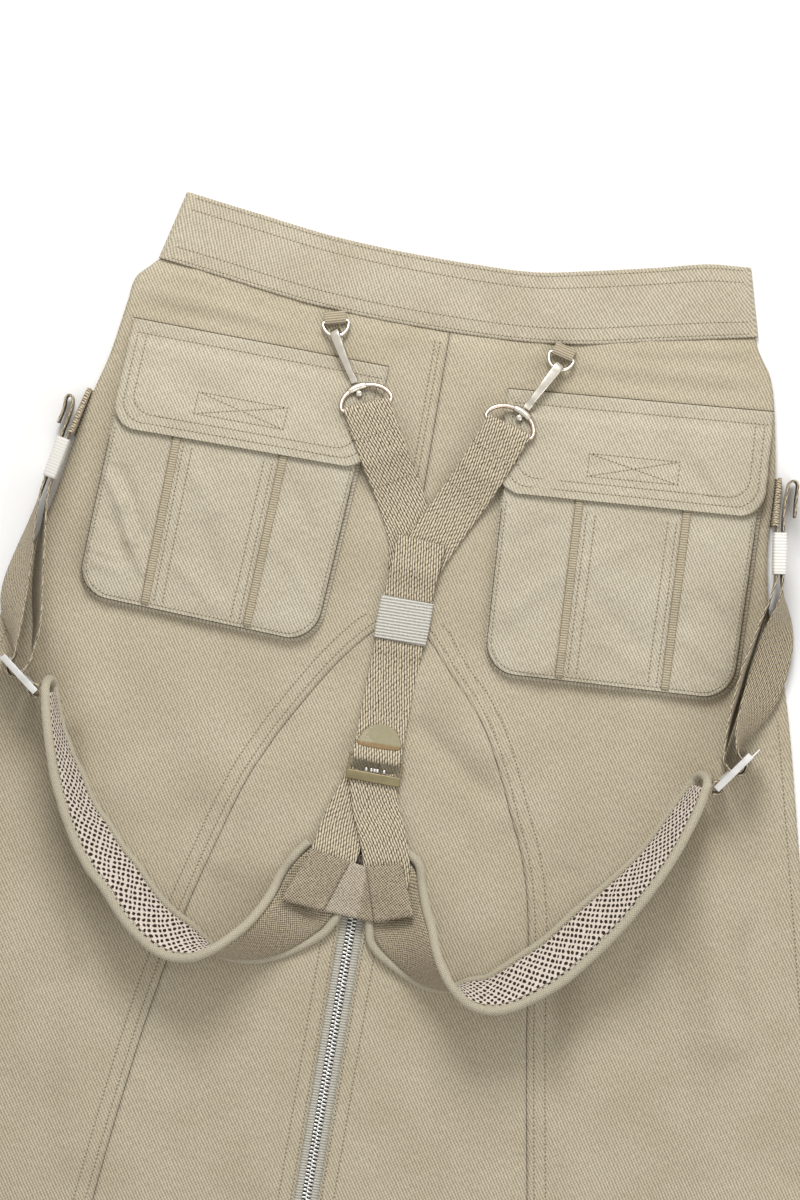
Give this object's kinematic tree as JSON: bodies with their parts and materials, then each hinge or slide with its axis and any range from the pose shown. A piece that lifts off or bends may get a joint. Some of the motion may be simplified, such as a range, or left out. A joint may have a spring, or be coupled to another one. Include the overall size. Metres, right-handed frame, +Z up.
{
  "type": "cargo utility skirt",
  "caption": "Long A-line cargo skirt laid flat, back side up, with bellows pockets, an arched zipped insert and clip-on padded harness straps lying on it.",
  "frame": {"origin": "under the middle of the laid-out skirt, on the surface that it lies on", "axes": "+Y from hem to waist, +X to the right seen from above, +Z up from the surface"},
  "size_m": [0.7238, 0.8268, 0.0531],
  "materials": {
    "khaki_twill": "fine matt twill",
    "khaki_grosgrain": "ribbed ribbon",
    "khaki_webbing": "coarse flat webbing",
    "grey_zip_tape": "plain woven tape",
    "yoke_tape": "plain woven cloth",
    "white_elastic": "ribbed elastic",
    "grey_green_leather": "smooth, matt",
    "pad_cloth": "padded twill, spacer mesh inside",
    "pad_binding": "bias binding",
    "zip_metal": "dull silver",
    "pale_nickel": "pale warm nickel",
    "warm_steel": "rose-silver wire",
    "bright_steel": "bright silver",
    "khaki_painted_metal": "satin khaki paint"
  },
  "bodies": {
    "skirt": {"front_panel": "khaki_twill", "back_left": "khaki_twill", "back_right": "khaki_twill", "insert_left": "khaki_twill", "insert_right": "khaki_twill", "waistband": "khaki_twill", "bag_left": "khaki_twill", "bag_right": "khaki_twill", "gusset_left": "khaki_twill", "gusset_right": "khaki_twill", "flap_left": "khaki_twill", "flap_right": "khaki_twill", "ribbon_left_1": "khaki_grosgrain", "ribbon_left_2": "khaki_grosgrain", "ribbon_right_1": "khaki_grosgrain", "ribbon_right_2": "khaki_grosgrain", "waist_tab_left": "khaki_grosgrain", "waist_tab_right": "khaki_grosgrain", "upper_webbing_left": "khaki_webbing", "upper_webbing_right": "khaki_webbing", "centre_webbing": "khaki_webbing", "lower_webbing_left": "khaki_webbing", "lower_webbing_right": "khaki_webbing", "side_webbing_left": "khaki_webbing", "side_webbing_right": "khaki_webbing", "pad_loop_left": "khaki_webbing", "pad_loop_right": "khaki_webbing", "zip_tape_left": "grey_zip_tape", "zip_tape_right": "grey_zip_tape", "yoke_patch": "yoke_tape", "keeper_centre": "white_elastic", "keeper_left": "white_elastic", "keeper_right": "white_elastic", "half_moon": "grey_green_leather", "pad_left": "pad_cloth", "pad_right": "pad_cloth", "binding_left": "pad_binding", "binding_right": "pad_binding", "zip_chain": "zip_metal", "zip_slider": "zip_metal", "hook_left": "pale_nickel", "hook_right": "pale_nickel", "swivel_left": "pale_nickel", "swivel_right": "pale_nickel", "waist_ring_left": "pale_nickel", "waist_ring_right": "pale_nickel", "strap_ring_left": "warm_steel", "strap_ring_right": "warm_steel", "adjuster_left": "bright_steel", "adjuster_right": "bright_steel", "centre_buckle": "khaki_painted_metal"},
    "gate_left": {"gate_left": "pale_nickel"},
    "gate_right": {"gate_right": "pale_nickel"},
    "pull_tab": {"pull_tab": "zip_metal"}
  },
  "joints": [
    {"name": "gate_left_hinge", "type": "hinge", "parent": "skirt", "child": "gate_left", "pos_m": [-0.05794, 0.31063, 0.01251], "axis": [0.8216, 0.4999, 0.2742], "range_deg": [0, 9], "stiffness_Nm_per_rad": 0.004, "springref_deg": -14.32},
    {"name": "gate_right_hinge", "type": "hinge", "parent": "skirt", "child": "gate_right", "pos_m": [0.05476, 0.31091, 0.01214], "axis": [0.8759, -0.4825, 0], "range_deg": [0, 9], "stiffness_Nm_per_rad": 0.004, "springref_deg": -14.32},
    {"name": "pull_tab_hinge", "type": "hinge", "parent": "skirt", "child": "pull_tab", "pos_m": [-0.00565, 0.0126, 0.0085], "axis": [-1, 0, 0], "range_deg": [0, 3]}
  ]
}
